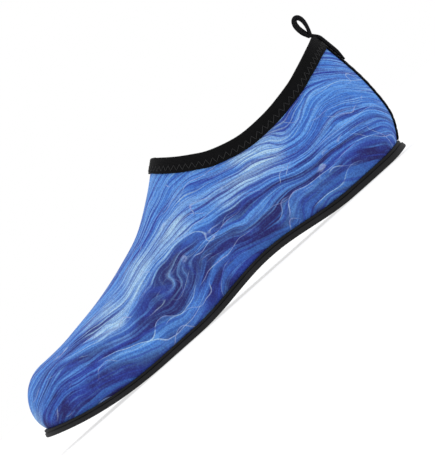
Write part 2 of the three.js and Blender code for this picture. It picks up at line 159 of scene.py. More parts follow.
def sway(x, height):
    # how far the round back of the heel and the round toe move a point along the shoe
    heel = np.clip(1 - x / last["heelBulgeLength"], 0, 1) ** 2
    toe = np.clip(1 - (last["length"] - x) / last["toeBulgeLength"], 0, 1) ** 2
    back = readTable(heelBack, "out", np.maximum(height, 0) / collarHeight(0.0))
    return last["toeBulge"] * belly(height) * toe - last["heelBulge"] * back * heel


def sectionAt(x):
    # the section's middle and its half widths to either side, from shares of the ball's width, then
    # its swell, its squareness and its height
    at, close = x / last["length"], closing(x)
    shift = readTable(sections, "shift", at)
    middle = last["ballWidth"] * (readTable(sections, "axis", at) + shift * close)
    outer = last["ballWidth"] * (readTable(sections, "outer", at) - shift) * close
    inner = last["ballWidth"] * (readTable(sections, "inner", at) + shift) * close
    swell, square = readTable(sections, "swell", at), readTable(sections, "square", at)
    return middle, outer, inner, swell, square, ridgeHeight(x)


def wallPoint(x, height, side):
    # a point of the upper's outer surface, on the side asked for, by
    # |y / width| ** n + (height / ridge) ** n = 1
    x, height, side = np.broadcast_arrays(*(np.asarray(v, float) for v in (x, height, side)))
    middle, outer, inner, swell, square, ridge = sectionAt(x)
    rise = np.clip(np.maximum(height, 0) / np.maximum(ridge, 1e-9), 0, 1)
    width = np.where(side > 0, outer, inner) * (1 + swell * belly(height))
    y = middle + side * width * (1 - rise ** square) ** (1 / square)
    return np.stack([x + sway(x, height), y, footLine(x) + height], -1)


def outside(p):
    # above 0 outside the upper's surface and below 0 inside it
    x = p[..., 0]
    for _ in range(4):
        x = p[..., 0] - sway(x, p[..., 2] - footLine(x))
    height = p[..., 2] - footLine(x)
    middle, outer, inner, swell, square, ridge = sectionAt(x)
    width = np.where(p[..., 1] > middle, outer, inner) * (1 + swell * belly(height))
    room = 1 - (np.maximum(height, 0) / np.maximum(ridge, 1e-9)) ** square
    return np.abs(p[..., 1] - middle) ** square - signedPower(width, square) * room


def outward(p):
    # the direction straight out of the upper: the slope of that function
    step = 0.02
    slope = np.stack([outside(p + step * axis) - outside(p - step * axis) for axis in np.eye(3)], -1)
    return slope / np.maximum(np.linalg.norm(slope, axis=-1, keepdims=True), 1e-12)


def crossing(f, low, high):
    # where a falling function of arrays crosses 0, by halving
    for _ in range(44):
        middle = (low + high) / 2
        above = f(middle) > 0
        low, high = np.where(above, middle, low), np.where(above, high, middle)
    return (low + high) / 2


def lineHeight(x, drop):
    # the line a set distance below the collar's edge
    step = 0.5
    rise = collarHeight(x + step) + footLine(x + step) - collarHeight(x - step) - footLine(x - step)
    return collarHeight(x) - drop * np.hypot(1, rise / (2 * step))


def lineEnd(drop):
    # where that line reaches the ridge
    drop = np.asarray(drop, float)
    low = np.full(drop.shape, 0.3 * last["length"])
    return crossing(lambda x: ridgeHeight(x) - lineHeight(x, drop), low, low + 0.2 * last["length"])


collarFront = float(lineEnd(0.0))


def eased(t):
    # 0 to 1 with a slow start and a slow end
    return (1 - np.cos(np.pi * t)) / 2


def outlineAt(t, side, height, station):
    # a point of the shoe's outline by its share of the way from heel to toe; past either end it goes on round
    turned = (t < 0) | (t > 1)
    inside = np.where(t < 0, -t, np.where(t > 1, 2 - t, t))
    return wallPoint(station(inside), height, np.where(turned, -side, side))


def awayAt(t, side, station):
    # the outline's normal in plan
    step = 1e-3
    along = outlineAt(t + step, side, 0.0, station) - outlineAt(t - step, side, 0.0, station)
    away = np.stack([-along[..., 1], along[..., 0], np.zeros_like(t)], -1) * side[..., None]
    return away / np.maximum(np.linalg.norm(away, axis=-1, keepdims=True), 1e-12)


def loopOf(count):
    # up the outer side from the heel to the toe, and back along the inner side
    up = np.arange(count + 1) / count
    back = np.arange(count - 1, 0, -1) / count
    return np.concatenate([up, back]), np.concatenate([np.ones(count + 1), -np.ones(count - 1)])


# The shared frame: its origin is the middle of the shoe's box, and the sole's toe edge fixes x
soleFlare = 3.7
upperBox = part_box("upper")
sideways = wallPoint(np.linspace(10, 245, 900), last["belly"], 1.0)[:, 1].max()
toFrame = np.array([
    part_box("sole")[1].x * 1000 - last["length"] - soleFlare,
    upperBox[1].y * 1000 - sideways,
    0.0,
])
print("own frame's shift in mm:", toFrame.round(2))


# Mesh helpers
def gridFaces(rows, columns, start=0, closedRows=False, closedColumns=False):
    # the quads of a grid of points stored row by row
    r = np.arange(rows if closedRows else rows - 1)
    c = np.arange(columns if closedColumns else columns - 1)
    r, c = np.meshgrid(r, c, indexing="ij")
    r2, c2 = (r + 1) % rows, (c + 1) % columns
    quads = np.stack([r * columns + c, r2 * columns + c, r2 * columns + c2, r * columns + c2], -1)
    return quads.reshape(-1, 4) + start


def weld(points, quads):
    # one vertex for each place, and quads with fewer than 3 places dropped
    _, index, back = np.unique(points.round(4), axis=0, return_index=True, return_inverse=True)
    quads = back.reshape(-1)[quads]
    same = quads == np.roll(quads, -1, axis=1)
    return points[index], quads[same.sum(1) < 2], index


def normalsOf(points, quads):
    # each vertex's normal: the sum of its faces' normals, which weigh as their area
    face = np.cross(points[quads[:, 2]] - points[quads[:, 0]], points[quads[:, 3]] - points[quads[:, 1]])
    total = np.zeros_like(points)
    for corner in range(4):
        np.add.at(total, quads[:, corner], face)
    return total / np.maximum(np.linalg.norm(total, axis=1, keepdims=True), 1e-12)


def makePiece(name, points, quads, material, attributes=None, slots=None, body="root"):
    # a mesh object from points in mm and quads, with attributes of three numbers for each point
    same = quads == np.roll(quads, -1, axis=1)
    whole = quads[same.sum(1) == 0]
    short, gone = quads[same.sum(1) == 1], same[same.sum(1) == 1]
    triangles = short[~gone].reshape(-1, 3) if len(short) else np.zeros((0, 3), int)
    mesh = bpy.data.meshes.new(name)
    mesh.vertices.add(len(points))
    mesh.vertices.foreach_set("co", ((points + toFrame) / 1000).astype(np.float32).ravel())
    corners = np.concatenate([whole.ravel(), triangles.ravel()]).astype(np.int32)
    sizes = np.concatenate([np.full(len(whole), 4), np.full(len(triangles), 3)])
    mesh.loops.add(len(corners))
    mesh.loops.foreach_set("vertex_index", corners)
    mesh.polygons.add(len(sizes))
    mesh.polygons.foreach_set("loop_start", (np.cumsum(sizes) - sizes).astype(np.int32))
    mesh.update(calc_edges=True)
    mesh.validate()
    mesh.shade_smooth()
    for key, values in (attributes or {}).items():
        data = mesh.attributes.new(key, "FLOAT_VECTOR", "POINT").data
        data.foreach_set("vector", values.astype(np.float32).ravel())
    for each in material if isinstance(material, list) else [material]:
        mesh.materials.append(each)
    if slots is not None:
        order = np.concatenate([slots[same.sum(1) == 0], slots[same.sum(1) == 1]])
        mesh.polygons.foreach_set("material_index", order.astype(np.int32))
    piece = bpy.data.objects.new(name, mesh)
    bpy.context.scene.collection.objects.link(piece)
    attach(piece, body)
    return piece


def thicken(points, quads, thickness):
    # a closed wall from an open surface: the surface, its copy moved against the normals, and strips
    # along the edges. part is 1 for the copy's faces and 0 for the rest
    normals = normalsOf(points, quads)
    count = len(points)
    inner = points - normals * np.asarray(thickness).reshape(-1, 1)
    edges = np.concatenate([np.stack([quads[:, k], quads[:, (k + 1) % 4]], 1) for k in range(4)])
    edges = edges[edges[:, 0] != edges[:, 1]]
    key, twin = edges[:, 0] * count + edges[:, 1], edges[:, 1] * count + edges[:, 0]
    rim = edges[~np.isin(key, twin)]
    strips = np.stack([rim[:, 0], rim[:, 0] + count, rim[:, 1] + count, rim[:, 1]], 1)
    solid = np.concatenate([quads, quads[:, ::-1] + count, strips])
    part = np.concatenate([np.zeros(len(quads)), np.ones(len(quads)), np.zeros(len(strips))])
    return np.concatenate([points, inner]), solid, part


def sweep(centre, ahead, out, radius, sides):
    # a round thread along a path of points: ring k is centre + radius * (cos a * out + sin a * across)
    across = np.cross(ahead, out)
    across /= np.maximum(np.linalg.norm(across, axis=-1, keepdims=True), 1e-12)
    turn = np.arange(sides) / sides * 2 * np.pi
    ring = (np.cos(turn)[None, :, None] * out[:, None, :]
            + np.sin(turn)[None, :, None] * across[:, None, :])
    return (centre[:, None, :] + radius * ring).reshape(-1, 3)


def stitches(centre, ahead, out, length, radius, rings=7, sides=6):
    # short threads as long round grains: ring k lies at length * -cos a / 2 and has the radius sin a ** 0.6
    turn = np.linspace(0, np.pi, rings)
    across = np.cross(ahead, out)
    angle = np.arange(sides) / sides * 2 * np.pi
    run = -np.cos(turn) * length / 2
    size = radius * np.sin(turn) ** 0.6
    ringPoints = (centre[:, None, None, :] + run[None, :, None, None] * ahead[:, None, None, :]
                  + (size[:, None] * np.cos(angle))[None, :, :, None] * out[:, None, None, :]
                  + (size[:, None] * np.sin(angle))[None, :, :, None] * across[:, None, None, :])
    one = gridFaces(rings, sides, closedColumns=True)
    faces = (one[None] + (np.arange(len(centre)) * rings * sides)[:, None, None]).reshape(-1, 4)
    return ringPoints.reshape(-1, 3), faces


def stripPoints(ring, stations, across):
    # straight lines of points from the outer side of a ring to its inner side, one line a station
    outer = ring[: stations + 1]
    inner = ring[(len(ring) - np.arange(stations + 1)) % len(ring)]
    u = np.linspace(0, 1, across + 1)[None, :, None]
    return outer[:, None, :] * (1 - u) + inner[:, None, :] * u


# Shader helpers
class Wire:
    # a node's output that can stand in a sum: each operator adds one Math node to its material
    def __init__(self, graph, socket):
        self.graph = graph
        self.socket = socket

    def math(self, operation, *others):
        return self.graph.add("ShaderNodeMath", {"operation": operation}, dict(enumerate([self, *others])))

    def turned(self, operation, other):
        return self.graph.add("ShaderNodeMath", {"operation": operation}, {0: other, 1: self})

    def __add__(self, other):
        return self.math("ADD", other)

    def __radd__(self, other):
        return self.math("ADD", other)

    def __sub__(self, other):
        return self.math("SUBTRACT", other)

    def __rsub__(self, other):
        return self.turned("SUBTRACT", other)

    def __mul__(self, other):
        return self.math("MULTIPLY", other)

    def __rmul__(self, other):
        return self.math("MULTIPLY", other)

    def __truediv__(self, other):
        return self.math("DIVIDE", other)

    def __pow__(self, other):
        return self.math("POWER", other)

    def floor(self):
        return self.math("FLOOR")

    def fraction(self):
        return self.math("FRACT")

    def absolute(self):
        return self.math("ABSOLUTE")

    def sine(self):
        return self.math("SINE")

    def between(self, low, high):
        # 0 below low, 1 above high, and smooth between
        smooth = {"interpolation_type": "SMOOTHSTEP"}
        return self.graph.add("ShaderNodeMapRange", smooth, {0: self, 1: low, 2: high})


class Graph:
    # one material's nodes
    def __init__(self, name):
        self.material = bpy.data.materials.new(name)
        self.material.use_nodes = True
        self.material.node_tree.nodes.clear()

    def add(self, kind, settings=None, inputs=None, output=0):
        node = self.material.node_tree.nodes.new(kind)
        for key, value in (settings or {}).items():
            setattr(node, key, value)
        for key, value in (inputs or {}).items():
            if isinstance(value, Wire):
                self.material.node_tree.links.new(value.socket, node.inputs[key])
            else:
                node.inputs[key].default_value = value
        return Wire(self, node.outputs[output]) if len(node.outputs) else None

    def attribute(self, name):
        # the three numbers of a point attribute
        vector = self.add("ShaderNodeAttribute", {"attribute_name": name}, output=1)
        return [self.add("ShaderNodeSeparateXYZ", None, {0: vector}, k) for k in range(3)]

    def place(self, x, y, z=0.0):
        return self.add("ShaderNodeCombineXYZ", None, {0: x, 1: y, 2: z})

    def objectPlace(self):
        return self.add("ShaderNodeTexCoord", output=3)

    def noise(self, vector, scale, detail=2.0, roughness=0.5, distortion=0.0):
        return self.add("ShaderNodeTexNoise", None,
                        {"Vector": vector, "Scale": scale, "Detail": detail, "Roughness": roughness,
                         "Distortion": distortion})

    def mix(self, factor, a, b):
        settings = {"data_type": "RGBA", "clamp_factor": True}
        return self.add("ShaderNodeMix", settings, {0: factor, 6: a, 7: b}, 2)

    def bump(self, height, distance, strength=1.0, under=None):
        inputs = {"Height": height, "Distance": distance, "Strength": strength}
        if under is not None:
            inputs["Normal"] = under
        return self.add("ShaderNodeBump", None, inputs)

    def finish(self, inputs):
        shader = self.add("ShaderNodeBsdfPrincipled", None, inputs)
        self.add("ShaderNodeOutputMaterial", None, {"Surface": shader})
        return self.material


def paint(red, green, blue):
    # a colour from its screen values, 0 to 255
    share = np.array([red, green, blue]) / 255
    linear = np.where(share < 0.04045, share / 12.92, ((share + 0.055) / 1.055) ** 2.4)
    return (*linear.tolist(), 1.0)


# The printed sock
sock = {
    "stations": (100, 132), "rows": 88,
    "rollOver": 24.0,  # how far the print's level climbs over the top, and the width of that climb
    "knit": (1.1, 0.9),  # a loop's length and height
    # the print's crests as spacing, strength and seed, its dark lines and its ripples as spacing and seed
    "crests": ((19.0, 0.7, 2.0), (12.0, 0.55, 15.0)),
    "lines": ((7.3, 5.0), (4.3, 17.0)),
    "ripples": ((17.0, 9.0), (12.0, 33.0)),
    "colours": {
        "light": paint(104, 164, 236), "azure": paint(68, 124, 210), "royal": paint(48, 68, 160),
        "indigo": paint(38, 34, 94), "pale": paint(186, 220, 242), "lilac": paint(168, 162, 218),
        "lining": paint(52, 60, 84),
    },
}
# soft troughs (below 0) and ridges in the cloth, as lines seen from the side: from, to, width and
# height in mm
folds = [
    ((112, 78), (150, 36), 9.0, -0.7), ((122, 74), (168, 30), 7.0, 0.5), ((160, 50), (184, 22), 8.0, -0.6),
    ((178, 46), (200, 20), 7.0, 0.45), ((206, 42), (226, 24), 9.0, -0.5), ((30, 66), (58, 30), 9.0, -0.55),
    ((16, 62), (30, 30), 8.0, 0.45), ((76, 60), (92, 30), 9.0, -0.5), ((88, 62), (118, 28), 8.0, 0.4),
    ((232, 36), (244, 20), 6.0, -0.4), ((4, 30), (24, 16), 7.0, -0.4),
]


def foldHeight(x, z, y):
    # the sum of the folds: height * exp(-(distance / width) ** 2), fading towards both ends of each line
    total = np.zeros_like(x)
    for start, end, width, height in folds:
        start, end = np.array(start, float), np.array(end, float)
        run = end - start
        along = ((x - start[0]) * run[0] + (z - start[1]) * run[1]) / (run @ run)
        bend = 2.5 * np.sin(np.pi * along + 0.02 * y)
        off = ((x - start[0]) * run[1] - (z - start[1]) * run[0]) / np.hypot(*run) + bend
        fade = np.exp(-((along - 0.5) / 0.55) ** 4)
        total += height * np.exp(-(off / width) ** 2) * fade * (1 + 0.35 * np.sin(0.05 * y + height * 9))
    return total


def sockStation(t):
    # heel to the collar's front, then on to the toe, close together at all three
    front = sock["stations"][0] / sum(sock["stations"])
    behind = collarFront * eased(np.clip(t / front, 0, 1))
    ahead = collarFront + (last["length"] - collarFront) * eased(np.clip((t - front) / (1 - front), 0, 1))
    return np.where(t < front, behind, ahead)


def sockSurface():
    # rows of each section run from the foot line to the ridge, or to the collar's edge behind its front
    t, side = loopOf(sum(sock["stations"]))
    x = sockStation(t)[None, :]
    square, ridge = sectionAt(x)[4:]
    top = np.where(x < collarFront - 1e-6, np.minimum(collarHeight(x) / np.maximum(ridge, 1e-9), 1), 1.0)
    share = (np.arange(sock["rows"] + 1) / sock["rows"])[:, None]
    turn = share * np.arcsin(top ** (square / 2))
    height = ridge * np.sin(turn) ** (2 / square)
    points = wallPoint(x, height, side[None, :])
    return points.reshape(-1, 3), gridFaces(*points.shape[:2], closedColumns=True)


def printField(p):
    # how the print lies on the cloth: run goes along the shoe, and level climbs the side and on over
    # the top, as height over the foot line + r * exp(-(distance from the middle / r) ** 2), where r
    # is rollOver
    height = p[:, 2] - footLine(p[:, 0])
    sideways = p[:, 1] - sectionAt(p[:, 0])[0]
    level = height + sock["rollOver"] * np.exp(-(sideways / sock["rollOver"]) ** 2)
    return {"printField": np.stack([p[:, 0], level, p[:, 1]], 1)}


def streaksOf(g, run, level, side):
    # noise drawn out along the waves, in three sizes, each spread over 0 to 1
    broad = g.noise(g.place(run * 0.009, level * 0.2, side * 0.02), 1.0, 3.0, 0.55).between(0.36, 0.64)
    fine = g.noise(g.place(run * 0.014, level * 0.7, side * 0.04), 1.0, 3.0, 0.6).between(0.36, 0.64)
    hair = g.noise(g.place(run * 0.02, level * 2.0, side * 0.06), 1.0, 2.0, 0.6).between(0.34, 0.66)
    return broad, fine, hair


def printCloth():
    # a plain water print: rolling waves along the shoe, dark by the sole and lighter towards the top
    g = Graph("printed stretch cloth")
    c = sock["colours"]
    run, level, side = g.attribute("printField")
    slow = g.noise(g.place(run * 0.012, level * 0.02, side * 0.012), 1.0, 1.0)
    swell = g.noise(g.place(run * 0.022, level * 0.03, side * 0.02 + 7.0), 1.0, 2.0)
    waved = level + (run / 15.0 + slow * 5.0).sine() * 3.0 + (slow - 0.5) * 26.0 + (swell - 0.5) * 18.0
    broad, fine, hair = streaksOf(g, run, waved, side)
    # deep blue in soft patches below
    patch = g.noise(g.place(run * 0.03, waved * 0.06, side * 0.05), 1.0, 4.0, 0.62).between(0.4, 0.64)
    deep = g.mix(patch, c["indigo"], c["royal"])
    deep = g.mix(broad.between(0.5, 1.0) * 0.55, deep, c["azure"])
    deep = g.mix(fine.between(0.7, 1.0) * patch * 0.45, deep, c["light"])
    # lighter blue with dark streaks above
    bright = g.mix(broad.between(0.05, 0.6), c["royal"], c["azure"])
    bright = g.mix(fine.between(0.3, 0.9) * 0.85, bright, c["light"])
    bright = g.mix((1.0 - hair.between(0.0, 0.35)) * 0.65, bright, c["royal"])
    bright = g.mix(hair.between(0.8, 1.0) * 0.3, bright, c["pale"])
    climb = (waved + (broad - 0.5) * 16.0 + (fine - 0.5) * 9.0).between(16.0, 46.0)
    colour = g.mix(climb, deep, bright)
    # rolling crests: each is light up to a sharp pale edge, and comes and goes along its run
    for spacing, strength, seed in sock["crests"]:
        wobble = g.noise(g.place(run * 0.02, level * 0.02, side * 0.015 + seed), 1.0, 2.0)
        at = (waved + wobble * 34.0) / spacing
        there = g.noise(g.place(run * 0.022, at.floor() * 3.7, seed), 1.0, 1.0).between(0.46, 0.6)
        below = (1.0 - at.fraction()) * spacing
        body = (1.0 - below.between(0.0, 0.6 * spacing)) * there
        edge = (1.0 - below.between(0.12, 0.55)) * there
        colour = g.mix(body * strength, colour, g.mix(fine, c["azure"], c["light"]))
        colour = g.mix(edge * 0.7, colour, g.mix(broad, c["lilac"], c["pale"]))
    # foam in pale streaks, here and there in the upper half
    foam = g.noise(g.place(run * 0.017, waved * 0.022, side * 0.02 + 40.0), 1.0, 2.0)
    foam = foam.between(0.54, 0.68) * climb
    colour = g.mix(foam * (fine * 0.65 + hair.between(0.4, 0.9) * 0.5), colour, c["pale"])
    # sharp dark lines along the waves, and a few thin pale ripples
    for spacing, seed in sock["lines"]:
        at = (waved + (slow - 0.5) * 20.0) / spacing
        there = g.noise(g.place(run * 0.016, at.floor() * 2.3, seed), 1.0, 1.0).between(0.48, 0.58)
        line = 1.0 - (at.fraction() - 0.5).absolute().between(0.2 / spacing, 0.75 / spacing)
        colour = g.mix(line * there * 0.65, colour, c["royal"])
    for spacing, seed in sock["ripples"]:
        drift = g.noise(g.place(run * 0.026, level * 0.03, side * 0.02 + seed), 1.0, 2.0)
        at = ((level + drift * 60.0) / spacing).fraction() - 0.5
        broken = g.noise(g.place(run * 0.03, level * 0.07, seed - 5.0), 1.0, 2.0).between(0.5, 0.6)
        ripple = (1.0 - at.absolute().between(0.06 / spacing, 0.4 / spacing)) * broken
        colour = g.mix(ripple * 0.55, colour, g.mix(fine, c["pale"], c["lilac"]))
    # knit: a fine speckle and rows of loops
    place = g.objectPlace()
    speckle = g.noise(place, 1100.0, 2.0, 0.7)
    colour = g.mix(speckle.between(0.4, 0.66) * 0.34, colour, c["indigo"])
    colour = g.mix((1.0 - speckle.between(0.3, 0.55)) * 0.08, colour, c["light"])
    length, rise = sock["knit"]
    loops = (run * (2 * math.pi / length)).sine() * (level * (2 * math.pi / rise)).sine()
    soft = g.noise(place, 60.0, 3.0)
    normal = g.bump(loops * 0.35 + speckle, 0.00012, 0.5, g.bump(soft, 0.0012, 0.35))
    return g.finish({
        "Base Color": colour, "Roughness": 0.66 + 0.14 * speckle, "Normal": normal,
        "Specular IOR Level": 0.12,
    })


def liningCloth():
    g = Graph("knitted lining")
    place = g.objectPlace()
    fuzz = g.noise(place, 900.0, 3.0, 0.6)
    cloud = g.noise(place, 45.0, 3.0)
    dark = tuple(0.62 * v for v in sock["colours"]["lining"][:3]) + (1.0,)
    colour = g.mix(fuzz.between(0.3, 0.7) * 0.6 + cloud * 0.3, dark, sock["colours"]["lining"])
    return g.finish({
        "Base Color": colour, "Roughness": 0.86, "Normal": g.bump(fuzz, 0.0002, 0.6),
        "Sheen Weight": 0.3, "Specular IOR Level": 0.25,
    })


def buildSock():
    points, quads = sockSurface()
    points, quads = weld(points, quads)[:2]
    normals = normalsOf(points, quads)
    height = points[:, 2] - footLine(points[:, 0])
    # the folds fade out at the foot line and at the collar
    edge = np.clip(height / 10, 0, 1) * np.clip((lineHeight(points[:, 0], 0.0) - height - 6) / 12, 0, 1)
    edge = np.where(points[:, 0] > collarFront + 14, np.clip(height / 10, 0, 1), edge)
    moved = points + normals * (foldHeight(points[:, 0], points[:, 2], points[:, 1]) * edge)[:, None]
    shell, faces, part = thicken(moved, quads, last["wall"])
    fields = printField(np.concatenate([points, points]))
    cloths = [printCloth(), liningCloth()]
    piece = makePiece("upperCloth", shell, faces, cloths, fields, part)
    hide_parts("upper")
    return piece


# The rubber sole
sole = {
    "stations": 400, "across": 44, "side": 5.3, "taper": 0.22,
    "flare": soleFlare, "band": 3.3, "strip": 2.5, "rim": 3.0,
    "grooveDepth": 1.1, "grooveWidth": 2.4, "groovePitch": 10.5, "wave": 2.2, "waveLength": 26.0,
    "sipeDepth": 0.35, "margin": 7.0, "fields": ((0.07, 0.27), (0.53, 0.93)),
}


def sideTop(x):
    # the height of the sole's side, lower towards the toe
    return sole["side"] * (1 - sole["taper"] * x / last["length"])


def soleStation(t):
    return last["length"] * eased(t)


def treadDepth(x, y, inset):
    # wavy grooves across the sole with sloping walls, and shallow cuts between them
    swing = sole["wave"] * np.sin(2 * np.pi * y / sole["waveLength"])
    depth = np.zeros_like(x)
    for start, end in sole["fields"]:
        count = int((end - start) * last["length"] / sole["groovePitch"])
        first = start * last["length"]
        turn = (x - swing - first) / sole["groovePitch"]
        nearest = np.clip(np.round(turn), 0, count)
        off = np.abs(turn - nearest) * sole["groovePitch"]
        cut = np.clip((sole["grooveWidth"] / 2 + 0.25 - off) / 0.5, 0, 1)
        half = np.clip(np.floor(turn), 0, count - 1) + 0.5
        sipe = np.clip((0.5 - np.abs(turn - half) * sole["groovePitch"]) / 0.3, 0, 1)
        depth = np.maximum(depth, sole["grooveDepth"] * cut)
        depth = np.maximum(depth, sole["sipeDepth"] * sipe * (np.abs(turn - half) < 0.4))
    return depth * np.clip((inset - sole["margin"]) / 0.6, 0, 1)


def buildSole():
    # the side: a profile of offset from the foot line and share of the side's height, carried round
    # the outline
    t, side = loopOf(sole["stations"])
    away = awayAt(t, side, soleStation)
    x = soleStation(t)
    foot = outlineAt(t, side, 0.0, soleStation)
    rimFoot = outlineAt(t, side, sideTop(x) - last["base"] - last["gap"], soleStation)
    f, b, s = sole["flare"], sole["band"], sole["strip"]
    profile = [
        (f - 0.7, 0.0), (f - 0.35, 0.02), (f - 0.1, 0.07), (f, 0.15), (f - 0.05, 0.25), (b + 0.08, 0.4),
        (b + 0.05, 0.5), (b, 0.56), (b - 0.12, 0.585), (b - 0.5, 0.59), (s - 0.25, 0.6), (s - 0.2, 0.63),
        (s, 0.68), (s + 0.03, 0.8), (s - 0.02, 0.9), (s - 0.2, 0.97), (s - 0.5, 1.0), (s - 0.9, 1.0),
    ]
    past = 1.2  # the share of all that lies inside the tray
    rings, share = [], []
    for offset, up in profile:
        ring = foot + away * offset
        ring[:, 2] = underside(x) + up * sideTop(x)
        rings.append(ring)
        share.append(np.full(len(x), up))
    for offset, up in ((0.6, 0.99), (last["gap"], 0.95)):
        ring = rimFoot + away * offset
        ring[:, 2] = underside(x) + up * sideTop(x)
        rings.append(ring)
        share.append(np.full(len(x), past))
    ring = foot + away * last["gap"]
    ring[:, 2] = underside(x) + last["base"]
    rings.append(ring)
    share.append(np.full(len(x), past))
    points = np.concatenate(rings)
    faces = [gridFaces(len(rings), len(x), closedColumns=True)]
    # the underside and the tray's floor
    stations, across = sole["stations"], sole["across"]
    u = np.linspace(0, 1, across + 1)[None, :]
    parts, shares = [points], [np.concatenate(share)]
    for ring, under in ((rings[0], True), (rings[-1], False)):
        flat = stripPoints(ring, stations, across)
        if under:
            width = np.linalg.norm(flat[:, 0] - flat[:, -1], axis=1)[:, None]
            inset = np.minimum(u, 1 - u) * width
            rim = sole["rim"]
            ends = np.minimum(flat[..., 0] + rim, last["length"] + rim - flat[..., 0])
            flat[..., 2] += treadDepth(flat[..., 0], flat[..., 1], np.minimum(inset + rim, ends))
        start = sum(len(p) for p in parts)
        parts.append(flat.reshape(-1, 3))
        grid = gridFaces(stations + 1, across + 1, start)
        faces.append(grid[:, ::-1] if under else grid)
        shares.append(np.full(flat.shape[0] * flat.shape[1], -1.0 if under else past))
    points, shares = np.concatenate(parts), np.concatenate(shares)
    points, quads, kept = weld(points, np.concatenate(faces))
    shares = shares[kept]
    along = np.stack([shares, points[:, 0], points[:, 1]], 1)
    piece = makePiece("soleRubber", points, quads, soleRubber(), {"soleSide": along})
    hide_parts("sole")
    return piece


def soleRubber():
    g = Graph("black sole rubber")
    share = g.attribute("soleSide")[0]
    place = g.objectPlace()
    grain = g.noise(place, 2200.0, 2.0, 0.6)
    cloud = g.noise(place, 70.0, 4.0, 0.6)
    smear = g.noise(place, 240.0, 3.0, 0.7)
    band = 1.0 - share.between(0.55, 0.62)
    colour = g.mix(band, paint(4, 4, 5), paint(17, 17, 19))
    colour = g.mix(cloud.between(0.42, 0.7) * 0.3, colour, paint(36, 36, 39))
    dust = smear.between(0.6, 0.78) * (1.0 - share.between(0.0, 0.3)) * 0.3
    colour = g.mix(dust, colour, paint(66, 65, 64))
    return g.finish({
        "Base Color": colour, "Roughness": 0.55 + 0.2 * cloud, "Specular IOR Level": 0.25,
        "Normal": g.bump(grain, 0.0001, 0.5, g.bump(cloud, 0.0006, 0.25)),
    })


# The insole
insole = {"stations": 150, "across": 40, "thickness": 3.0, "margin": 0.6}


def buildInsole():
    # rings from the underside's edge over a rounded side to the top, closed below and above by strips
    t, side = loopOf(insole["stations"])
    away = awayAt(t, side, soleStation)
    x = soleStation(t)
    foot = outlineAt(t, side, 0.0, soleStation)
    inset = -(last["wall"] + insole["margin"])
    profile = [
        (0.9, 0.0), (0.25, 0.06), (0.0, 0.28), (0.0, 0.72), (0.12, 0.88), (0.4, 0.97), (0.9, 1.0),
    ]
    rings = []
    for back, up in profile:
        ring = foot + away * (inset - back)
        ring[:, 2] = footLine(x) + up * insole["thickness"]
        rings.append(ring)
    stations, across = insole["stations"], insole["across"]
    parts, faces = [np.concatenate(rings)], [gridFaces(len(rings), len(x), closedColumns=True)]
    for ring, under in ((rings[0], True), (rings[-1], False)):
        flat = stripPoints(ring, stations, across)
        start = sum(len(p) for p in parts)
        parts.append(flat.reshape(-1, 3))
        grid = gridFaces(stations + 1, across + 1, start)
        faces.append(grid[:, ::-1] if under else grid)
    points, quads = weld(np.concatenate(parts), np.concatenate(faces))[:2]
    piece = makePiece("insoleFoam", points, quads, insoleCloth())
    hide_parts("insole")
    return piece


def insoleCloth():
    g = Graph("insole cloth")
    place = g.objectPlace()
    weave = g.noise(place, 1100.0, 2.0, 0.6)
    px = g.add("ShaderNodeSeparateXYZ", None, {0: place}, 0)
    py = g.add("ShaderNodeSeparateXYZ", None, {0: place}, 1)
    cells = ((px * 2600.0).sine() * (py * 2600.0).sine()).between(-0.4, 0.6)
    colour = g.mix(cells * 0.6 + weave * 0.3, paint(30, 32, 38), paint(66, 70, 80))
    return g.finish({
        "Base Color": colour, "Roughness": 0.88, "Sheen Weight": 0.2,
        "Normal": g.bump(cells + weave, 0.0003, 0.5),
    })


# The collar's elastic binding
binding = {
    "width": 8.0, "thickness": 0.9, "innerGap": 0.42, "around": 300,
    "zigzag": 3.7, "swing": 1.5, "lane": 5.3, "laneWidth": 1.8, "draw": 0.16,
    "thread": 0.17, "threadSides": 6,
}


def collarPoint(share, drop, out):
    # a point round the collar: share runs from the heel along the outer side to the front and back
    # along the inner side
    share, drop, out = np.broadcast_arrays(share, drop, out)
    side = np.where(share <= 0.5, 1.0, -1.0)
    way = np.where(share <= 0.5, 2 * share, 2 - 2 * share)
    end = lineEnd(drop)
    x = end * eased(way)
    height = np.where(way > 1 - 1e-9, ridgeHeight(end), lineHeight(x, drop))
    p = wallPoint(x, height, side)
    return p + outward(p) * out[..., None]


def bindingProfile():
    # the folded tape's section, as (drop, out) pairs: outer leg, fold over the edge, inner leg, and
    # back inside
    wall, gap, t = last["wall"], last["gap"], binding["thickness"]
    low, inner = binding["width"], -wall - binding["innerGap"]
    outer = [(low, gap), (low, gap + 0.45 * t), (low - 0.15, gap + 0.8 * t), (low - 0.5, gap + t)]
    leg = [(d, gap + t * (1 + 0.1 * math.sin(math.pi * d / low))) for d in np.linspace(low - 1.2, 0.6, 8)]
    middle, half = (gap + t + inner - t) / 2, (gap + t - inner + t) / 2
    fold = [(-(gap + t) * math.cos(a), middle + half * math.sin(a)) for a in np.linspace(1.45, -1.45, 11)]
    back = [(d, inner - t * (1 + 0.1 * math.sin(math.pi * d / low))) for d in np.linspace(0.6, low - 1.2, 6)]
    tail = [(low - 0.5, inner - t), (low - 0.1, inner - 0.7 * t), (low, inner - 0.4 * t), (low, inner)]
    inside = [
        (low / 2, inner), (0.4, inner), (-0.25, inner + 0.2), (-0.25, gap - 0.1), (0.4, gap),
        (low / 2, gap),
    ]
    return outer + leg + fold + back + tail + inside


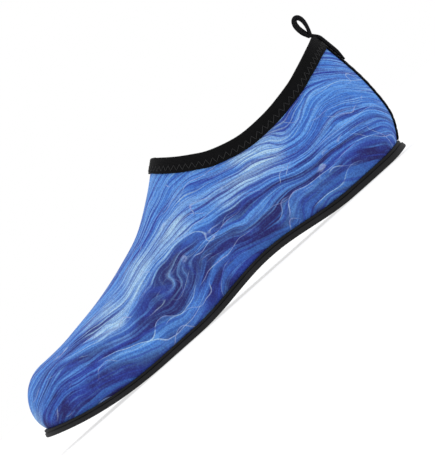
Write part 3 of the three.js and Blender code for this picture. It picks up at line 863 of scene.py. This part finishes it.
def elasticTape():
    g = Graph("black ribbed elastic")
    along, across = g.attribute("tapePlace")[:2]
    place = g.objectPlace()
    fuzz = g.noise(place, 1600.0, 2.0, 0.6)
    cloud = g.noise(place, 160.0, 3.0)
    ribs = (across * (2 * math.pi / 0.75)).sine()
    cords = (along * (2 * math.pi / 1.3)).sine()
    height = ribs * 0.5 + cords * 0.35 + fuzz
    lift = (fuzz * 0.5 + ribs * 0.15 + cloud * 0.5).between(0.25, 0.9)
    colour = g.mix(lift, paint(2, 2, 3), paint(13, 13, 15))
    return g.finish({
        "Base Color": colour, "Roughness": 0.82, "Normal": g.bump(height, 0.00022, 0.8),
        "Specular IOR Level": 0.12,
    })


def threadCloth(name, low, high):
    g = Graph(name)
    twist = g.noise(g.objectPlace(), 3000.0, 2.0)
    colour = g.mix(twist, low, high)
    return g.finish({"Base Color": colour, "Roughness": 0.6, "Normal": g.bump(twist, 0.00008, 0.6)})


def buildBinding(tape):
    profile = np.array(bindingProfile())
    share = np.arange(binding["around"]) / binding["around"]
    grid = collarPoint(share[None, :], profile[:, :1], profile[:, 1:])
    # the stitches draw the tape in a little along their line
    onFace = profile[:, 1] > last["gap"] + 0.6 * binding["thickness"]
    lane = np.exp(-((profile[:, 0] - binding["lane"]) / binding["laneWidth"]) ** 2) * onFace
    grid -= outward(grid) * (binding["draw"] * lane[:, None, None])
    length = np.linalg.norm(np.diff(grid[4], axis=0), axis=1)
    along = np.concatenate([[0], np.cumsum(length)])
    place = np.stack([np.broadcast_to(along, grid.shape[:2]),
                      np.broadcast_to(profile[:, :1], grid.shape[:2]),
                      np.broadcast_to(profile[:, 1:], grid.shape[:2])], -1)
    points, quads = grid.reshape(-1, 3), gridFaces(*grid.shape[:2], closedRows=True, closedColumns=True)
    field = {"tapePlace": place.reshape(-1, 3)}
    piece = makePiece("collarBindingTape", points, quads, tape, field)
    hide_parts("collar_binding")
    # the zigzag seam that holds the tape, outside
    count = int(along[-1] / binding["zigzag"]) * 2
    s = np.linspace(0, 1, count * 4 + 1)
    zig = np.arcsin(np.sin(2 * np.pi * s * count / 2)) * 2 / np.pi
    drop = binding["lane"] + binding["swing"] * zig
    path = collarPoint(np.clip(s, 0, 1), drop, last["gap"] + binding["thickness"] * 1.02)
    ahead = np.gradient(path, axis=0)
    ahead /= np.maximum(np.linalg.norm(ahead, axis=1, keepdims=True), 1e-9)
    sides = binding["threadSides"]
    ring = sweep(path, ahead, outward(path), binding["thread"], sides)
    # the thread's two ends close at their own middle points
    rings = np.concatenate([np.repeat(path[:1], sides, 0), ring, np.repeat(path[-1:], sides, 0)])
    points, quads = weld(rings, gridFaces(len(path) + 2, sides, closedColumns=True)[:, ::-1])[:2]
    thread = threadCloth("seam thread", paint(8, 8, 10), paint(23, 23, 26))
    makePiece("bindingSeam", points, quads, thread)
    return thread


# The tape down the heel
heelTape = {
    "width": 9.0, "thickness": 0.8, "rows": 160, "columns": 20, "stitch": 5.4, "puff": 0.16, "draw": 0.22,
    "seam": 3.05, "seamStep": 2.7, "seamStitch": 2.0, "seamThread": 0.22,
}


def backPoint(y, height):
    # a point on the back of the heel, y to the side of its middle
    y, height = np.broadcast_arrays(np.asarray(y, float), np.asarray(height, float))
    side = np.where(y < 0, -1.0, 1.0)
    low = np.zeros_like(y)

    def left(x):
        return np.abs(y) - np.abs(wallPoint(x, height, side)[..., 1])

    x = crossing(left, low, low + last["heelRound"])
    return wallPoint(np.where(np.abs(y) < 1e-6, 0.0, x), height, side)


def buildHeelTape(tape, thread):
    # a strip that swells between its stitches and is thinner at both selvedges
    bottom = float(sideTop(0.0) - last["base"] + 0.35)
    top = float(lineHeight(0.0, binding["width"] - 1.2))  # its end dips under the binding
    v = np.linspace(0, 1, heelTape["rows"] + 1)[:, None]
    u = np.linspace(-0.5, 0.5, heelTape["columns"] + 1)[None, :]
    height = bottom + (top - bottom) * v + 0 * u
    wavy = 0.12 * np.sin(2 * np.pi * (top - bottom) * v / heelTape["stitch"])
    p = backPoint(u * (heelTape["width"] + 2 * wavy * 0.8), height)
    puff = heelTape["puff"] * np.sin(np.pi * (top - bottom) * v / heelTape["stitch"]) ** 2
    draw = -heelTape["draw"] * np.exp(-((np.abs(u) - 0.34) / 0.07) ** 2)
    edge = -0.3 * (2 * np.abs(u)) ** 8
    dip = np.clip((top - height) / 1.6, 0, 1)
    out = (last["gap"] + heelTape["thickness"] + puff + draw + edge) * (0.2 + 0.8 * dip)
    p = p + outward(p) * out[..., None]
    place = np.stack([height, u * heelTape["width"] + 0 * v, 0 * u * v], -1).reshape(-1, 3)
    quads = gridFaces(heelTape["rows"] + 1, heelTape["columns"] + 1)
    thickness = (heelTape["thickness"] + puff + draw + edge).ravel() * 0.9
    points, faces = thicken(p.reshape(-1, 3), quads, thickness)[:2]
    piece = makePiece("heelTapeCloth", points, faces, tape,
                      {"tapePlace": np.concatenate([place, place])})
    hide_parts("heel_tape")
    # two rows of stitches
    count = int((top - bottom) / heelTape["seamStep"])
    heights = bottom + (np.arange(count) + 0.5) * (top - bottom) / count
    lift = last["gap"] + heelTape["thickness"] - 0.02
    for name, y in (("heelStitchesOuter", heelTape["seam"]), ("heelStitchesInner", -heelTape["seam"])):
        p = backPoint(y, heights)
        out = outward(p)
        ahead = backPoint(y, heights + 0.5) - backPoint(y, heights - 0.5)
        ahead /= np.linalg.norm(ahead, axis=1, keepdims=True)
        length, radius = heelTape["seamStitch"], heelTape["seamThread"]
        points, faces = stitches(p + out * lift, ahead, out, length, radius)
        points, faces = weld(points, faces[:, ::-1])[:2]
        makePiece(name, points, faces, thread)


# The pull loop
pull = {
    "width": 6.0, "thickness": 2.1, "height": 14.2, "span": 5.4, "lean": 1.0, "tail": 19.0, "seat": 1.24,
    "steps": 220, "around": 28, "twist": 24.0, "waist": 0.12,
}


def offBack(drop, out):
    # a point on the heel's middle line, below the collar's edge by drop and off the cloth by out
    p = wallPoint(0.0, lineHeight(0.0, drop), 1.0)
    return p + outward(p) * out


def buildPullLoop():
    # one tape in a drop-shaped loop: its middle line runs up the back, round the head and down in
    # front to the collar. Its section is a flat oval that turns a little about the line, so the front
    # leg shows its face
    seat, half = pull["seat"], pull["thickness"] / 2
    lean = math.radians(pull["lean"])
    rise = np.array([-math.sin(lean), 0, math.cos(lean)])
    ahead = np.array([math.cos(lean), 0, math.sin(lean)])
    foot = offBack(-seat - 0.35, -last["wall"] / 2)
    drops = np.linspace(pull["tail"], 0.6, 40)
    thin = [0.4, 1]  # the tail's end is thinner, over its last 6 mm
    tail = np.array([offBack(d, seat + half * np.interp(pull["tail"] - d, [0, 6], thin)) for d in drops])
    turn = np.linspace(0.3, 2 * math.pi - 0.12, 110)
    up = pull["height"] * (1 - np.cos(turn)) / 2 * 0.96
    forward = -pull["span"] / 2 * 1.22 * np.sin(turn) * np.abs(np.sin(turn / 2)) ** 1.1
    drop = foot + up[:, None] * rise + forward[:, None] * ahead
    front = foot + np.array([[0.2, 0, -0.05]])
    path = np.concatenate([tail, drop, front])
    # even steps and soft corners
    for _ in range(10):
        path[1:-1] = (path[:-2] + 2 * path[1:-1] + path[2:]) / 4
    way = np.concatenate([[0], np.cumsum(np.linalg.norm(np.diff(path, axis=0), axis=1))])
    count, around = pull["steps"], pull["around"]
    steps = np.linspace(0, way[-1], count)
    path = np.stack([np.interp(steps, way, path[:, k]) for k in range(3)], 1)
    along = np.gradient(path, axis=0)
    along /= np.linalg.norm(along, axis=1, keepdims=True)
    share = steps / way[-1]
    fade = np.clip((1.03 - share) / 0.12, 0, 1)
    twist = np.radians(pull["twist"]) * np.clip((share - 0.55) / 0.25, 0, 1) * fade
    across = np.tile([0.0, 1.0, 0.0], (count, 1))
    flat = np.cross(along, across)
    turned = across * np.cos(twist)[:, None] + flat * np.sin(twist)[:, None]
    over = flat * np.cos(twist)[:, None] - across * np.sin(twist)[:, None]
    angle = np.arange(around) / around * 2 * np.pi
    wide = signedPower(np.cos(angle), 0.35) * pull["width"] / 2
    thick = signedPower(np.sin(angle), 0.6) * half
    narrow = 1 - pull["waist"] * np.exp(-((share - 0.62) / 0.2) ** 2)
    grown = np.interp(steps, [0, 6], thin)
    rings = (path[:, None, :] + (wide[None, :] * narrow[:, None])[..., None] * turned[:, None, :]
             + (thick[None, :] * grown[:, None])[..., None] * over[:, None, :])
    ends = [np.repeat(path[k][None], around, 0)[None] for k in (0, -1)]
    rings = np.concatenate([ends[0], rings, ends[1]])
    run = np.concatenate([[0], steps, steps[-1:]])
    place = np.stack([np.broadcast_to(run[:, None], rings.shape[:2]),
                      np.broadcast_to(wide[None, :], rings.shape[:2]),
                      np.broadcast_to(thick[None, :], rings.shape[:2])], -1).reshape(-1, 3)
    faces = gridFaces(*rings.shape[:2], closedColumns=True)
    points, quads, kept = weld(rings.reshape(-1, 3), faces)
    field = {"tapePlace": place[kept]}
    piece = makePiece("pullLoopTape", points, quads, wovenTape(), field)
    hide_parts("pull_loop")


def wovenTape():
    g = Graph("black woven tape")
    run, wideAt = g.attribute("tapePlace")[:2]
    fuzz = g.noise(g.objectPlace(), 1800.0, 2.0, 0.6)
    weave = (run * (2 * math.pi / 0.9)).sine() * (wideAt * (2 * math.pi / 0.8)).sine()
    colour = g.mix((weave * 0.3 + fuzz * 0.7).between(0.1, 0.8), paint(6, 6, 7), paint(28, 28, 31))
    return g.finish({
        "Base Color": colour, "Roughness": 0.78, "Normal": g.bump(weave + fuzz, 0.00022, 0.8),
        "Specular IOR Level": 0.15,
    })


buildSock()
print("sock made")
buildSole()
buildInsole()
print("sole and insole made")
tape = elasticTape()
thread = buildBinding(tape)
buildHeelTape(tape, thread)
buildPullLoop()
print("binding, heel tape and pull loop made")


# The studio: lengths in metres, the camera's roll in degrees and its sensor in millimetres
studio = {
    "distance": 1.9, "roll": 41.5, "viewHeight": 0.255, "aim": (0.0, 0.0, 0.046), "shift": (0.018, 0.004),
    "sensor": 24.0,
    "floorEdge": 6.0, "floorHeight": -0.0004,  # just under the sole, so that the two don't share a plane
}


def buildStudio():
    floorMesh = bpy.data.meshes.new("studioFloor")
    edge, low = studio["floorEdge"], studio["floorHeight"]
    corners = [(-edge, -edge, low), (edge, -edge, low), (edge, edge, low), (-edge, edge, low)]
    floorMesh.from_pydata(corners, [], [(0, 1, 2, 3)])
    floor = bpy.data.objects.new("studioFloor", floorMesh)
    bpy.context.scene.collection.objects.link(floor)
    g = Graph("pale floor")
    tone = g.noise(g.objectPlace(), 3.0, 2.0)
    floorMesh.materials.append(g.finish({
        "Base Color": g.mix(tone, (0.32, 0.32, 0.325, 1), (0.34, 0.34, 0.345, 1)), "Roughness": 0.8,
        "Specular IOR Level": 0.1, "Emission Color": (1, 1, 1, 1), "Emission Strength": 0.7,
    }))
    world = bpy.data.worlds.new("studio")
    bpy.context.scene.world = world
    world.use_nodes = True
    background = world.node_tree.nodes["Background"]
    background.inputs["Color"].default_value = (1.0, 1.0, 1.0, 1.0)
    background.inputs["Strength"].default_value = 1.0
    # each lamp's name, place, size and power
    lamps = [
        ("keyLight", (0.35, 0.9, 1.5), 1.0, 1.4), ("topLight", (-0.3, 0.1, 1.8), 1.4, 2.0),
        ("backLight", (-0.5, -1.2, 1.2), 1.2, 1.5),
    ]
    for name, place, size, power in lamps:
        light = bpy.data.lights.new(name, "AREA")
        light.size = size
        light.energy = power
        lamp = bpy.data.objects.new(name, light)
        bpy.context.scene.collection.objects.link(lamp)
        lamp.location = place
        lamp.rotation_euler = (Vector((0, 0, 0.04)) - Vector(place)).to_track_quat("-Z", "Y").to_euler()
    bpy.context.scene.view_settings.view_transform = "Standard"


def buildCamera():
    # from the outer side, level, and rolled so that the heel stands high on the right
    roll = math.radians(studio["roll"])
    right = Vector((-math.cos(roll), 0, -math.sin(roll)))
    up = Vector((-math.sin(roll), 0, math.cos(roll)))
    back = Vector((0, 1, 0))
    lens = bpy.data.cameras.new("photoCamera")
    lens.sensor_fit = "VERTICAL"
    lens.sensor_height = studio["sensor"]
    lens.lens = studio["sensor"] * studio["distance"] / studio["viewHeight"]
    camera = bpy.data.objects.new("photoCamera", lens)
    bpy.context.scene.collection.objects.link(camera)
    place = Vector(studio["aim"]) + back * studio["distance"]
    place = place + right * studio["shift"][0] + up * studio["shift"][1]
    turn = Matrix((right, up, back)).transposed().to_4x4()
    camera.matrix_world = Matrix.Translation(place) @ turn
    lens.clip_end = 30
    bpy.context.scene.camera = camera


buildStudio()
buildCamera()
print("studio made")
